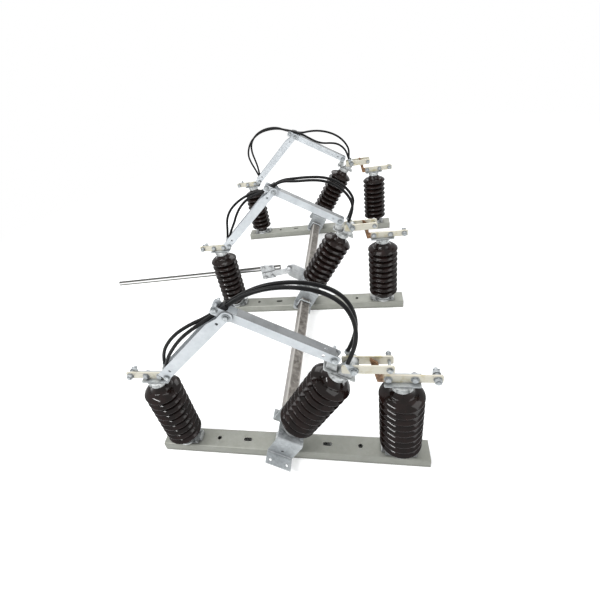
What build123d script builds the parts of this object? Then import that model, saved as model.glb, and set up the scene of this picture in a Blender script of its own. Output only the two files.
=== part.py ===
from build123d import *
import math
import os

# Three-pole outdoor disconnector whose centre insulators tilt together on one
# square torque tube. Millimetres; X runs along the base channels, Y from the
# front pole to the rear pole, Z up. The origin is under the middle pole, below
# the tilting axis, on the plane that the base channels stand on.

# ---- driving dimensions -----------------------------------------------------
pole_spacing = 1055.0          # centre to centre of neighbouring poles, along Y

base_length = 1250.0           # folded base channel, open side down
base_width = 100.0
base_height = 50.0
base_wall = 5.0
fixing_hole_x = 338.0          # round hole each side of the tilting axis
fixing_slot_x = 191.0          # slot each side of the tilting axis
fixing_hole_d = 20.0
fixing_slot_length = 42.0
fixing_slot_width = 18.0

post_x = 506.0                 # fixed insulators stand this far from the axis
post_height = 445.0            # over both metal fittings
shed_radius = 85.0
shed_count = 9
shed_first = 68.0              # rim of the lowest shed above the foot
shed_last = 375.0              # rim of the top shed above the foot
core_radius = 46.0
cap_radius = 37.0
cap_height = 25.0
foot_radius = 50.0
foot_plate = (130.0, 74.0)     # rectangular plate under each fixed insulator

axis_height = 103.0            # tilting axis above the ground plane
tilt_closed = 32.0             # lean of the centre insulator, contacts closed
seat_height = 88.0             # insulator foot above the tilting axis

tube_side = 60.0               # square torque tube
tube_wall = 4.0
bracket_width = 120.0
bracket_half_span = 80.0       # outer faces of the two side plates
bracket_flange = 58.0
bracket_plate = 5.0
pivot_radius = 12.5

arm_root_x, arm_root_rise = -431.0, 38.0    # lower arm's pivot, above the cap plates
arm_apex_x, arm_apex_rise = -80.0, 361.0    # where the two arms meet
arm_head_x, arm_head_rise = 272.0, 136.0    # upper arm's pivot on the tilting head
upper_arm_width = 38.0         # outside, across Y
upper_arm_depth = 40.0
lower_arm_width = 54.0
lower_arm_depth = 50.0
lower_arm_offset = 11.0        # its middle line lies above the pivot line
arm_sheet = 3.0
apex_bolt = -48.0              # cable bolt, beyond the apex along the upper arm
apex_round = 23.0              # rounded end of the lower arm about the apex

plate_length = 130.0           # plates on top of the insulator caps
plate_width = 50.0
plate_thickness = 5.0
bar_height = 36.0              # fixed terminal bars, standing on edge
bar_thickness = 8.0
terminal_end_x = 645.0
terminal_bolt = 15.0           # clamping bolt at each end terminal
moving_bar_height = 40.0
moving_bar_thickness = 6.0
moving_bar_inner = 20.0        # inner face from the middle plane
moving_bar_rise = 92.0          # middle of the blades above the cap plates
moving_bar_start = 294.0
moving_bar_end = 478.0
moving_bar_bolt_x = 338.0      # bolt through both bars and the cable lugs

cable_diameter = 15.0

rod_diameter = 33.7            # pipe to the drive
rod_y = 150.0
rod_length = 1330.0
rod_slope = 2.6                # degrees, down towards the drive
lever_hub = (-160.0, 40.0)     # along and above the tilting seat's own axes

# ---- values that follow -----------------------------------------------------
deck = base_height             # top face of the base channels
cap_top = deck + post_height
plate_top = cap_top + plate_thickness
bar_mid = plate_top + bar_height / 2
clamp_reach = tube_side / 2 + 10    # legs of the U-bolts, from the tube's axis
moving_bar_z = plate_top + moving_bar_rise
arm_root = (arm_root_x, plate_top + arm_root_rise)
arm_apex = (arm_apex_x, plate_top + arm_apex_rise)
arm_head = (arm_head_x, plate_top + arm_head_rise)
poles = {"front": -pole_spacing, "middle": 0.0, "rear": pole_spacing}
tilt = math.radians(tilt_closed)


# ---- small helpers ----------------------------------------------------------
def rod(p, q, radius):
    """Round bar between two points."""
    a, b = Vector(*p), Vector(*q)
    plane = Plane(origin=a, z_dir=(b - a).normalized())
    return plane * Pos(0, 0, (b - a).length / 2) * Cylinder(radius, (b - a).length)


def tube(p, q, radius, bore):
    return rod(p, q, radius) - rod(p, q, bore)


def box(x0, x1, y0, y1, z0, z1):
    """Box between two corners."""
    return Pos((x0 + x1) / 2, (y0 + y1) / 2, (z0 + z1) / 2) * Box(
        abs(x1 - x0), abs(y1 - y0), abs(z1 - z0)
    )


def plate_xz(points, y0, y1, corner=0.0):
    """Flat plate in the XZ plane between two Y levels, corners rounded."""
    face = make_face(Polyline(*[(x, 0, z) for x, z in points], close=True))
    if corner:
        face = fillet(face.vertices(), corner)
    solid = extrude(face, amount=abs(y1 - y0), dir=(0, 1, 0))
    return Pos(0, min(y0, y1), 0) * solid


def folded_strip(points, thickness, bend):
    """Face of a folded sheet's section; points run along its middle line."""
    half = thickness / 2
    left, right, left_radii, right_radii = [], [], [], []
    for i, p in enumerate(points):
        before = Vector(*p) - Vector(*points[i - 1]) if i else None
        after = Vector(*points[i + 1]) - Vector(*p) if i + 1 < len(points) else None
        d0 = (before or after).normalized()
        d1 = (after or before).normalized()
        n0, n1 = Vector(-d0.Y, d0.X), Vector(-d1.Y, d1.X)
        miter = (n0 + n1) / (1 + n0.dot(n1))
        left.append(Vector(*p) + miter * half)
        right.append(Vector(*p) - miter * half)
        if before is not None and after is not None:
            turns_left = d0.X * d1.Y - d0.Y * d1.X > 0
            left_radii.append(bend if turns_left else bend + thickness)
            right_radii.append(bend + thickness if turns_left else bend)
    outline = [
        FilletPolyline(*left, radius=left_radii),
        FilletPolyline(*right, radius=right_radii),
        Line(left[0], right[0]),
        Line(left[-1], right[-1]),
    ]
    return make_face(outline)


def hex_bolt(at, direction, grip, size, head=True, tail=8.0, washers=True):
    """Bolt through a grip: head and washer at one end, nut and washer behind.

    The direction points from the head into the work; the shank is included.
    """
    d = Vector(*direction).normalized()
    face = Vector(*at)
    turned = Plane(origin=face, z_dir=d)
    washer_r, washer_t = size * 1.15, size * 0.2
    head_r = size * 0.87
    lift = washer_t if washers else 0.0
    bolt = turned * Pos(0, 0, (grip + tail - lift) / 2) * Cylinder(
        size / 2, grip + tail + lift
    )
    if head:
        bolt += turned * Pos(0, 0, -lift - size * 0.65) * extrude(
            RegularPolygon(head_r, 6), amount=size * 0.65
        )
    if washers:
        bolt += turned * Pos(0, 0, -washer_t / 2) * Cylinder(washer_r, washer_t)
        bolt += turned * Pos(0, 0, grip + washer_t / 2) * Cylinder(washer_r, washer_t)
    if tail > size * 0.9:
        bolt += turned * Pos(0, 0, grip + lift) * extrude(
            RegularPolygon(head_r, 6), amount=size * 0.8
        )
    return bolt


def cable(points, diameter):
    """Round cable along straight runs joined by tangent arcs."""
    pts = [Vector(*p) for p in points]
    radii = []
    for a, b, c in zip(pts, pts[1:], pts[2:]):
        turn = math.radians((b - a).get_angle(c - b))
        shorter = min((b - a).length, (c - b).length)
        radii.append(0.45 * shorter / math.tan(turn / 2))
    path = FilletPolyline(*pts, radius=radii)
    section = Plane(origin=pts[0], z_dir=(pts[1] - pts[0]).normalized()) * Circle(
        diameter / 2
    )
    print("cable radii", [round(r) for r in radii], "length", round(path.length, 1))
    solid = sweep(section, path=path)
    share = solid.volume / (section.area * path.length)
    print("  volume share", round(share, 4))
    return solid


def at_pole(shape, y):
    return Pos(0, y, 0) * shape


def tilted(shape):
    """From the tilting seat's own axes (pivot at the origin) to the pole."""
    return Pos(0, 0, axis_height) * Rot(0, tilt_closed, 0) * shape


def tilted_point(a, y, n):
    return (
        a * math.cos(tilt) + n * math.sin(tilt),
        y,
        axis_height - a * math.sin(tilt) + n * math.cos(tilt),
    )


# ---- base channels ----------------------------------------------------------
def base_channel():
    half = base_width / 2 - base_wall / 2
    section = folded_strip(
        [(-half, 0), (-half, deck - base_wall / 2), (half, deck - base_wall / 2), (half, 0)],
        base_wall,
        4.0,
    )
    plane = Plane(origin=(-base_length / 2, 0, 0), x_dir=(0, 1, 0), z_dir=(1, 0, 0))
    body = extrude(plane * section, amount=base_length)
    for side in (-1, 1):
        body -= Pos(side * fixing_hole_x, 0, deck) * Cylinder(fixing_hole_d / 2, 30)
        slot = SlotOverall(fixing_slot_length, fixing_slot_width)
        body -= Pos(side * fixing_slot_x, 0, deck - 15) * extrude(slot, amount=30)
    return body


def bearing():
    """Saddle on the channel with two lugs that carry the pivot pin."""
    lug_y, lug_t = 34.0, 8.0
    saddle = box(-55, 55, -45, 45, deck, deck + 6)
    lug = [(-34, deck + 6), (34, deck + 6), (22, axis_height), (-22, axis_height)]
    for side in (-1, 1):
        y0, y1 = sorted((side * lug_y, side * (lug_y + lug_t)))
        saddle += plate_xz(lug, y0, y1)
        saddle += rod((0, y0, axis_height), (0, y1, axis_height), 22)
        saddle += rod((0, y0 - 3, axis_height), (0, y1 + 3, axis_height), 18)
    saddle -= rod((0, -60, axis_height), (0, 60, axis_height), pivot_radius + 0.4)
    for sx in (-1, 1):
        saddle += Pos(sx * 45, 0, deck + 6) * extrude(RegularPolygon(8.7, 6), amount=6.5)
    return saddle


# ---- insulators -------------------------------------------------------------
def insulator():
    """Porcelain body from its foot at z = 0, turned profile with sheds."""
    pitch = (shed_last - shed_first) / (shed_count - 1)
    foot_top, neck_top = 22.0, post_height - 22.0
    with BuildSketch(Plane.XZ) as profile:
        with BuildLine():
            at = Polyline((0, foot_top), (core_radius - 6, foot_top))
            path = [at]
            last = (core_radius - 6, foot_top)
            start = (core_radius, shed_first - 26)
            path.append(Line(last, start))
            last = start
            for i in range(shed_count):
                z = shed_first + i * pitch
                under_root = (core_radius, z - 10)
                rim_low = (shed_radius - 3, z - 5)
                rim_high = (shed_radius - 2, z + 2)
                over_root = (core_radius + 4, z + 20)
                if last != under_root:
                    path.append(Line(last, under_root))
                path.append(Line(under_root, rim_low))
                path.append(ThreePointArc(rim_low, (shed_radius, z - 1.4), rim_high))
                path.append(
                    ThreePointArc(
                        rim_high,
                        ((shed_radius + core_radius) / 2 + 3, z + 13.5),
                        over_root,
                    )
                )
                after = (core_radius, z + 24)
                path.append(Line(over_root, after))
                last = after
            path.append(Line(last, (cap_radius - 5, neck_top - 4)))
            path.append(Line((cap_radius - 5, neck_top - 4), (cap_radius - 5, neck_top)))
            path.append(Line((cap_radius - 5, neck_top), (0, neck_top)))
            path.append(Line((0, neck_top), (0, foot_top)))
        make_face()
    return revolve(profile.sketch, axis=Axis.Z)


def foot_fitting():
    """Metal foot: round flange under a short cup."""
    flange = Pos(0, 0, 5) * Cylinder(foot_radius, 10)
    cup = Pos(0, 0, 11) * Cylinder(core_radius - 2, 22)
    return fillet((flange + cup).edges().filter_by(GeomType.CIRCLE).group_by(Axis.Z)[-1], 2)


def fixed_foot(side):
    """Foot on its rectangular plate, with an upturned lip towards the axis."""
    length, width = foot_plate
    plate = Pos(0, 0, 2.5) * Box(length, width, 5)
    plate = fillet(plate.edges().filter_by(Axis.Z), 5)
    inner = -side * (length / 2)
    lip_x0, lip_x1 = sorted((inner - side * 15, inner - side * 11))
    shelf_x0, shelf_x1 = sorted((inner + side * 12, inner - side * 15))
    plate += box(shelf_x0, shelf_x1, -22, 22, 0, 4)
    plate += box(lip_x0, lip_x1, -22, 22, 0, 30)
    for a in (-53, 53):
        for y in (-27, 27):
            plate += Pos(a, y, 5) * extrude(RegularPolygon(8.7, 6), amount=6)
    return foot_fitting() + plate


def cap_fitting():
    """Cast cap with a cemented rim, its top face at the post's full height."""
    base = post_height - 22.0
    cap = Pos(0, 0, base + 11) * Cylinder(cap_radius, 22)
    cap = fillet(cap.edges().filter_by(GeomType.CIRCLE).group_by(Axis.Z)[-1], 3)
    for k in range(4):
        turn = Rot(0, 0, 45 + 90 * k)
        cap += turn * box(cap_radius - 8, cap_radius + 6, -8, 8, base + 8, post_height)
    return cap


# ---- terminals on the fixed insulators --------------------------------------
def terminal_bars():
    """Tinned copper: line terminal bar, and the fixed contact with its horn."""
    half = bar_thickness / 2
    low, high = plate_top, plate_top + bar_height
    line = plate_xz(
        [(-terminal_end_x, low), (-458, low), (-458, high), (-terminal_end_x, high)],
        -half, half, 6,
    )
    contact = plate_xz(
        [
            (418, low), (terminal_end_x, low), (terminal_end_x, high),
            (430, high), (424, low + 100), (391, low + 134),
        ],
        -half, half, 5,
    )
    line_holes = [(-terminal_end_x + 19, bar_mid), (-549, bar_mid), (-482, bar_mid)]
    contact_holes = [(terminal_end_x - 19, bar_mid), (457, bar_mid), (550, bar_mid)]
    for x, z in line_holes:
        line -= rod((x, -10, z), (x, 10, z), terminal_bolt / 2 + 0.1 if x < -600 else 6.6)
    for x, z in contact_holes:
        contact -= rod((x, -10, z), (x, 10, z), terminal_bolt / 2 + 0.1 if x > 600 else 6.6)
    return [line, contact]


def cap_plate(x):
    plate = box(x - plate_length / 2, x + plate_length / 2, -plate_width / 2,
                plate_width / 2, cap_top, plate_top)
    return fillet(plate.edges().filter_by(Axis.Z), 6)


def terminal_clamp(x):
    """Clamping bolt with its washers, spacer and nuts through a bar's end."""
    half = bar_thickness / 2

    def disc(y0, y1, radius):
        return rod((x, y0, bar_mid), (x, y1, bar_mid), radius)

    def nut(y):
        plane = Plane(origin=(x, y, bar_mid), z_dir=(0, 1, 0))
        return plane * extrude(RegularPolygon(13.8, 6), amount=12)

    clamp = disc(-half - 20, half + 44, terminal_bolt / 2)
    clamp += disc(-half - 3, -half, 15) + nut(-half - 15)
    clamp += disc(half, half + 3, 15) + disc(half + 3, half + 15, 10.5)
    clamp += disc(half + 15, half + 18, 15) + nut(half + 18)
    clamp += box(x - 12, x + 12, half + 30, half + 33, bar_mid - 12, bar_mid + 12)
    return clamp


def terminal_brackets():
    """Plates on the caps, upright legs behind the bars, and their bolts."""
    half, leg = bar_thickness / 2, 5.0
    line = cap_plate(-post_x)
    line += box(-575, -441, half, half + leg, plate_top, plate_top + bar_height)
    x, z = arm_root
    neck = [(-470, plate_top), (-441, plate_top), (x + 13, z - 2), (x - 13, z + 3), (-470, plate_top + bar_height)]
    line += plate_xz(neck, half, half + leg)
    line += rod((x, -22, z), (x, 22, z), 14)
    line -= rod((x, -30, z), (x, 30, z), 6.5)
    contact = cap_plate(post_x)
    contact += box(post_x - 65, post_x + 65, half, half + leg, plate_top, plate_top + bar_height)
    for bx in (-549, -482, 457, 550):
        grip = bar_thickness + leg
        bolt = hex_bolt((bx, -half, bar_mid), (0, 1, 0), grip, 13.0,
                        tail=15.0 if bx in (-549, 457, 550) else 4.0)
        if bx < 0:
            line = line + bolt
        else:
            contact = contact + bolt
    line += box(-600, -570, half, half + leg, plate_top + 22, plate_top + bar_height)
    line += box(-600, -586, half, half + leg, plate_top + 22, plate_top + bar_height + 18)
    for sx in (-1, 1):
        clamp = terminal_clamp(sx * (terminal_end_x - 19))
        for bx in (-48, 48):
            under = (sx * post_x + bx, 0, cap_top - 9)
            clamp += Pos(*under) * extrude(RegularPolygon(9, 6), amount=9)
        if sx < 0:
            line = line + clamp
        else:
            contact = contact + clamp
    return [line, contact]


# ---- tilting centre ---------------------------------------------------------
def tilt_bracket():
    """Hat-shaped folded seat astride the channel, with the pivot pin inside."""
    t = bracket_plate
    side = bracket_half_span - t / 2
    low = -tube_side / 2 - t / 2
    section = folded_strip(
        [
            (-bracket_half_span - bracket_flange, low), (-side, low),
            (-side, seat_height - t / 2), (side, seat_height - t / 2),
            (side, low), (bracket_half_span + bracket_flange, low),
        ],
        t, 4.0,
    )
    plane = Plane(origin=(-bracket_width / 2, 0, 0), x_dir=(0, 1, 0), z_dir=(1, 0, 0))
    hat = extrude(plane * section, amount=bracket_width)
    hat += rod((0, -side, 0), (0, side, 0), pivot_radius)
    for end in (-1, 1):
        hat -= rod((0, end * (side - 22), 0), (0, end * (side + 10), 0), 6.5)
        y = end * (bracket_half_span + bracket_flange - 20)
        for a in (-clamp_reach, clamp_reach):
            hat -= Pos(a, y, low) * Cylinder(6.5, 20)
    for a in (-48, 48):
        for y in (-48, 48):
            hat += Pos(a, y, seat_height) * extrude(RegularPolygon(9, 6), amount=7)
    return hat


def u_bolt(y):
    """Square U-bolt over the torque tube, its nuts under the bracket flange."""
    reach, over, under = clamp_reach, tube_side / 2 + 5.0, -tube_side / 2 - bracket_plate - 20
    path = FilletPolyline(
        (-reach, y, under), (-reach, y, over), (reach, y, over), (reach, y, under), radius=12
    )
    bend = sweep(Plane(origin=(-reach, y, under), z_dir=(0, 0, 1)) * Circle(5), path=path)
    nut_top = -tube_side / 2 - bracket_plate
    for a in (-reach, reach):
        bend += Pos(a, y, nut_top - 1) * Cylinder(12, 2)
        bend += Pos(a, y, nut_top - 11) * extrude(RegularPolygon(10, 6), amount=9)
    return bend


def contact_head():
    """Plate and casting on the tilting insulator: arm lug and bar block."""
    top = seat_height + post_height
    plate = box(-plate_length / 2, plate_length / 2, -plate_width / 2, plate_width / 2,
                top, top + plate_thickness)
    plate = fillet(plate.edges().filter_by(Axis.Z), 6)
    head = tilted(plate)
    base = top + plate_thickness
    px, pz = arm_head
    bx, bz = moving_bar_bolt_x, moving_bar_z
    foot_left = [tilted_point(a, 0, base) for a in (-58, -14)]
    foot_right = [tilted_point(a, 0, base) for a in (-10, 42)]
    u, v = math.cos(tilt), math.sin(tilt)

    def leg(feet, cx, cz, r):
        return [
            (feet[0][0], feet[0][2]), (feet[1][0], feet[1][2]),
            (cx + r * u, cz - r * v), (cx - r * u, cz + r * v),
        ]

    head += plate_xz(leg(foot_left, px, pz, 13), -14, 14)
    head += rod((px, -14, pz), (px, 14, pz), 13)
    head += plate_xz(leg(foot_right, bx, bz, 19), -moving_bar_inner, moving_bar_inner)
    head += rod((bx, -moving_bar_inner, bz), (bx, moving_bar_inner, bz), 19)
    head -= rod((px, -20, pz), (px, 20, pz), 6.5)
    for a in (-54, 54):
        bolt = Pos(a, 0, top - 9) * extrude(RegularPolygon(9, 6), amount=9)
        head += tilted(bolt)
    return head


def moving_contact():
    """Two flat bars either side of the fixed contact's horn."""
    low = moving_bar_z - moving_bar_height / 2
    high = moving_bar_z + moving_bar_height / 2
    inner, outer = moving_bar_inner, moving_bar_inner + moving_bar_thickness
    outline = [(moving_bar_start, low), (moving_bar_end, low),
               (moving_bar_end, high), (moving_bar_start, high)]
    bars = [plate_xz(outline, side * inner, side * outer, 9) for side in (-1, 1)]
    x = moving_bar_end - 16
    hole = rod((x, -40, moving_bar_z), (x, 40, moving_bar_z), 5.7)
    return [bar - hole for bar in bars]


def contact_bolts():
    """Cross bolt with its spring at the bars' free end, and the bars' bolt."""
    outer = moving_bar_inner + moving_bar_thickness
    x = moving_bar_end - 16
    cross = hex_bolt((x, -outer, moving_bar_z), (0, 1, 0), 2 * outer, 11.0, tail=38.0)
    for k in range(4):
        y = outer + 12 + 5 * k
        cross += rod((x, y, moving_bar_z), (x, y + 3, moving_bar_z), 10)
    parts = [cross]
    for sy in (-1, 1):
        face = sy * (outer + 5)
        head = Plane(origin=(moving_bar_bolt_x, face, moving_bar_z), z_dir=(0, sy, 0))
        part = head * Pos(0, 0, 1.5) * Cylinder(16, 3)
        part += head * Pos(0, 0, 3) * extrude(RegularPolygon(12, 6), amount=9)
        parts.append(part)
    return parts


# ---- arms -------------------------------------------------------------------
def along(p, q):
    """Unit vectors along and above a line in the XZ plane, and its length."""
    dx, dz = q[0] - p[0], q[1] - p[1]
    length = math.hypot(dx, dz)
    u = (dx / length, dz / length)
    n = (-u[1], u[0]) if u[0] > 0 else (u[1], -u[0])
    return u, n, length


def on_line(p, u, n, s, h):
    return (p[0] + u[0] * s + n[0] * h, p[1] + u[1] * s + n[1] * h)


def upper_arm():
    """Channel with its web on top, from the tilting head up to the apex."""
    u, n, length = along(arm_apex, arm_head)
    half, depth, t = upper_arm_width / 2, upper_arm_depth / 2, arm_sheet
    start, end = -62.0, length + 20.0

    def outline(s0, s1, h0, h1):
        return [on_line(arm_apex, u, n, s, h) for s, h in
                ((s0, h0), (s1, h0), (s1, h1), (s0, h1))]

    arm = plate_xz(outline(30, length - 4, depth - t, depth), -half, half)
    for side in (-1, 1):
        y0, y1 = sorted((side * (half - t), side * half))
        arm += plate_xz(outline(start, end, -depth, depth), y0, y1, 12)
    for s in (apex_bolt, length - 44, length):
        x, z = on_line(arm_apex, u, n, s, 4 if s < 0 else 0)
        arm -= rod((x, -40, z), (x, 40, z), 6.2)
    top = on_line(arm_apex, u, n, length - 44, depth)
    arm -= rod((top[0] - n[0] * 9, 0, top[1] - n[1] * 9), (top[0] + n[0] * 9, 0, top[1] + n[1] * 9), 5.5)
    return arm


def upper_arm_bolts():
    u, n, length = along(arm_apex, arm_head)
    half = upper_arm_width / 2
    x, z = arm_head
    pivot = hex_bolt((x, -half, z), (0, 1, 0), 2 * half, 12.0, tail=30.0)
    ex, ez = on_line(arm_apex, u, n, apex_bolt, 4)
    end = hex_bolt((ex, -half, ez), (0, 1, 0), 2 * half, 12.0, tail=26.0)
    end += rod((ex, half + 2, ez), (ex, half + 9, ez), 13.5)
    return [pivot, end]


def lower_arm():
    """Channel open towards the cables, from the line terminal to the apex."""
    u, n, length = along(arm_root, arm_apex)
    half, t = lower_arm_width / 2, arm_sheet
    low = lower_arm_offset - lower_arm_depth / 2
    high = low + lower_arm_depth

    def outline(s0, s1, h0, h1):
        return [on_line(arm_root, u, n, s, h) for s, h in
                ((s0, h0), (s1, h0), (s1, h1), (s0, h1))]

    arm = plate_xz(outline(62, length - 62, low, low + t), -half, half)
    cheek = [on_line(arm_root, u, n, s, h) for s, h in (
        (-16, low), (length, low), (length, apex_round), (length - 32, apex_round),
        (length - 82, high), (-16, high),
    )]
    for side in (-1, 1):
        y0, y1 = sorted((side * (half - t), side * half))
        arm += plate_xz(cheek, y0, y1)
        arm += rod((arm_apex[0], y0, arm_apex[1]), (arm_apex[0], y1, arm_apex[1]), apex_round)
    arm = arm.clean()
    for s, h in ((0, 0), (46, 10), (length - 52, 8)):
        x, z = on_line(arm_root, u, n, s, h)
        arm -= rod((x, -40, z), (x, 40, z), 6.2)
    return arm


def lower_arm_bolts():
    """Pivot bolt at the terminal; at the apex a bolt head on each side only."""
    half, t = lower_arm_width / 2, arm_sheet
    x, z = arm_root
    parts = [hex_bolt((x, -half, z), (0, 1, 0), 2 * half, 12.0, tail=22.0)]
    x, z = arm_apex
    for side in (-1, 1):
        face = Plane(origin=(x, side * half, z), z_dir=(0, side, 0))
        stub = face * Pos(0, 0, 1.5) * Cylinder(15, 3)
        stub += face * Pos(0, 0, 3) * extrude(RegularPolygon(9.5, 6), amount=7)
        stub += face * Pos(0, 0, -t - 1.5) * Cylinder(11, 3)
        parts.append(stub)
    return parts


# ---- jumper cables ----------------------------------------------------------
grip_length, grip_height = 36.0, 21.0
# Middle of the rubber grip at each apex, and its slope in degrees: the cables
# of each pole were clamped at their own angle.
grips = {
    "front": ((-86.0, 889.0), 33.0),
    "middle": ((-86.0, 889.0), 25.0),
    "rear": ((-84.0, 893.0), -20.0),
}

# Corners (x, z) of the straight runs of each cable, after the run that leaves
# the grip, whose length comes first. "head" cables go to the moving bars and
# "line" cables to the line terminal; the rear and the front one of each pair.
head_front_pole = (64.0, [(70, 966), (168, 971), (256, 950), (320, 902), (351, 832),
                          (356, 757), (341, 688), (319, 634)])
cable_runs = {
    "front": {
        "head rear": head_front_pole,
        "head front": head_front_pole,
        "line rear": (78.0, [(-250, 801), (-330, 752), (-393, 690), (-428, 632), (-441, 584)]),
        "line front": (72.0, [(-232, 797), (-300, 748), (-358, 688), (-401, 632), (-424, 583)]),
    },
    "middle": {
        "head rear": (42.0, [(45, 913), (122, 910), (198, 899), (262, 871), (312, 828),
                             (345, 775), (354, 735), (341, 688), (319, 634)]),
        "head front": (42.0, [(48, 903), (124, 902), (196, 892), (256, 866), (304, 825),
                              (336, 775), (348, 735), (341, 688), (319, 634)]),
        "line rear": (38.0, [(-195, 862), (-258, 844), (-322, 811), (-378, 764),
                             (-413, 706), (-428, 632), (-441, 584)]),
        "line front": (38.0, [(-190, 856), (-243, 834), (-292, 798), (-334, 746),
                              (-364, 688), (-401, 632), (-424, 583)]),
    },
    "rear": {
        "head rear": (38.0, [(38, 878), (108, 870), (176, 848), (235, 815), (281, 772),
                             (312, 722), (325, 678), (319, 634)]),
        "head front": (40.0, [(28, 832), (84, 795), (136, 778), (190, 774), (240, 762),
                              (279, 732), (307, 690), (319, 634)]),
        "line rear": (46.0, [(-215, 936), (-290, 938), (-362, 924), (-426, 886),
                             (-472, 828), (-494, 758), (-480, 694), (-458, 637), (-441, 584)]),
        "line front": (50.0, [(-212, 948), (-284, 952), (-350, 938), (-408, 902),
                              (-444, 850), (-450, 786), (-436, 720), (-424, 652), (-424, 583)]),
    },
}


def cable_route(pole, name):
    """Corners (x, y, z) of one cable of a pole, from its grip to its lug."""
    (gx, gz), angle = grips[pole]
    ux, uz = math.cos(math.radians(angle)), math.sin(math.radians(angle))
    end = 1 if name.startswith("head") else -1
    side = 1 if name.endswith("rear") else -1
    first, corners = cable_runs[pole][name]
    points = [
        (gx + end * ux * (grip_length / 2 + s), gz + end * uz * (grip_length / 2 + s))
        for s in (0.0, first)
    ] + corners
    spread = 22.0 if end > 0 else 4.0
    last = len(points) - 1
    return [
        (x, side * (8.0 + spread * max(0, i - 1) / (last - 1)), z)
        for i, (x, z) in enumerate(points)
    ]


def cable_grip(pole):
    """Rubber grip that holds both cables between the upper arm's flanges."""
    (gx, gz), angle = grips[pole]
    half = upper_arm_width / 2 - arm_sheet
    block = Box(grip_length, 2 * half, grip_height)
    block = fillet(block.edges().filter_by(Axis.Y), 4)
    return Pos(gx, 0, gz) * Rot(0, -angle, 0) * block


def lug_on_bar(route, side):
    """Pressed barrel under a cable's end and its palm on the moving bar."""
    end, before = Vector(*route[-1]), Vector(*route[-2])
    d = (end - before).normalized()
    outer = moving_bar_inner + moving_bar_thickness
    foot = end + d * 9
    barrel = rod(tuple(end), tuple(foot), 10)
    y0, y1 = sorted((side * outer, side * (outer + 5)))
    bx = moving_bar_bolt_x
    palm = plate_xz(
        [
            (foot.X - 10, foot.Z + 3), (foot.X + 12, foot.Z - 1), (bx + 17, moving_bar_z + 3),
            (bx, moving_bar_z - 12), (bx - 17, moving_bar_z - 3),
        ],
        y0, y1,
    )
    palm += rod((bx, y0, moving_bar_z), (bx, y1, moving_bar_z), 17)
    return barrel + palm


def lug_on_terminal(route, side):
    end, before = Vector(*route[-1]), Vector(*route[-2])
    d = (end - before).normalized()
    foot = end + d * 24
    barrel = rod(tuple(end), tuple(foot), 9)
    half = bar_thickness / 2
    face = half + 5 if side > 0 else half
    y0, y1 = sorted((side * face, side * (face + 5)))
    right = arm_root[0] - 18.0
    palm = plate_xz(
        [
            (right - 17, plate_top + 4), (right, plate_top + 4), (right, arm_root[1] + 12),
            (foot.X + 7, foot.Z + 5), (foot.X - 9, foot.Z + 5), (right - 17, arm_root[1] + 8),
        ],
        y0, y1, 2,
    )
    return barrel + palm


# ---- drive ------------------------------------------------------------------
def torque_tube(y0, y1):
    outer = box(-tube_side / 2, tube_side / 2, y0, y1, -tube_side / 2, tube_side / 2)
    outer = fillet(outer.edges().filter_by(Axis.Y), 6)
    inner = tube_side / 2 - tube_wall
    bore = box(-inner, inner, y0 - 5, y1 + 5, -inner, inner)
    bore = fillet(bore.edges().filter_by(Axis.Y), 3)
    return outer - bore


def crank_lever():
    """Plate lever against the torque tube's left face, held by a U-bolt."""
    left = -tube_side / 2
    a, n = lever_hub
    leg = tube_side / 2 + 7
    plate = plate_xz(
        [(left, -27), (left, 82), (-146, 82), (a - 18, n + 14), (a - 18, n - 14), (-138, -20)],
        rod_y + 2, rod_y + 10, 8,
    )
    pad = box(left - 8, left, rod_y - 4, rod_y + 58, -leg - 9, leg + 9)
    lever = plate + pad
    lever -= rod((a, rod_y - 10, n), (a, rod_y + 20, n), 8.3)
    for y in (rod_y + 24, rod_y + 46):
        path = FilletPolyline(
            (left - 24, y, leg), (tube_side / 2 + 5, y, leg), (tube_side / 2 + 5, y, -leg), (left - 24, y, -leg),
            radius=12,
        )
        lever += sweep(Plane(origin=(left - 24, y, leg), z_dir=(1, 0, 0)) * Circle(5), path=path)
        for z in (-leg, leg):
            nut = Plane(origin=(left - 8, y, z), z_dir=(-1, 0, 0)) * extrude(RegularPolygon(10, 6), amount=9)
            lever += nut
    return tilted(lever)


hub = tilted_point(lever_hub[0], 0, lever_hub[1])
rod_axis_z = hub[2] + 17.0     # pipe axis above the hub pin, at the pin
rod_tip_x = hub[0] - 60.0
link_y0, link_y1 = rod_y - 31.0, rod_y - 23.0


def rod_point(x):
    """Height of the pipe's axis at x."""
    return rod_axis_z + (x - hub[0]) * math.tan(math.radians(rod_slope))


def drive_rod():
    far = rod_tip_x - rod_length
    a, b = (far, rod_y, rod_point(far)), (rod_tip_x, rod_y, rod_point(rod_tip_x))
    return tube(a, b, rod_diameter / 2, rod_diameter / 2 - 3.2)


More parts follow.
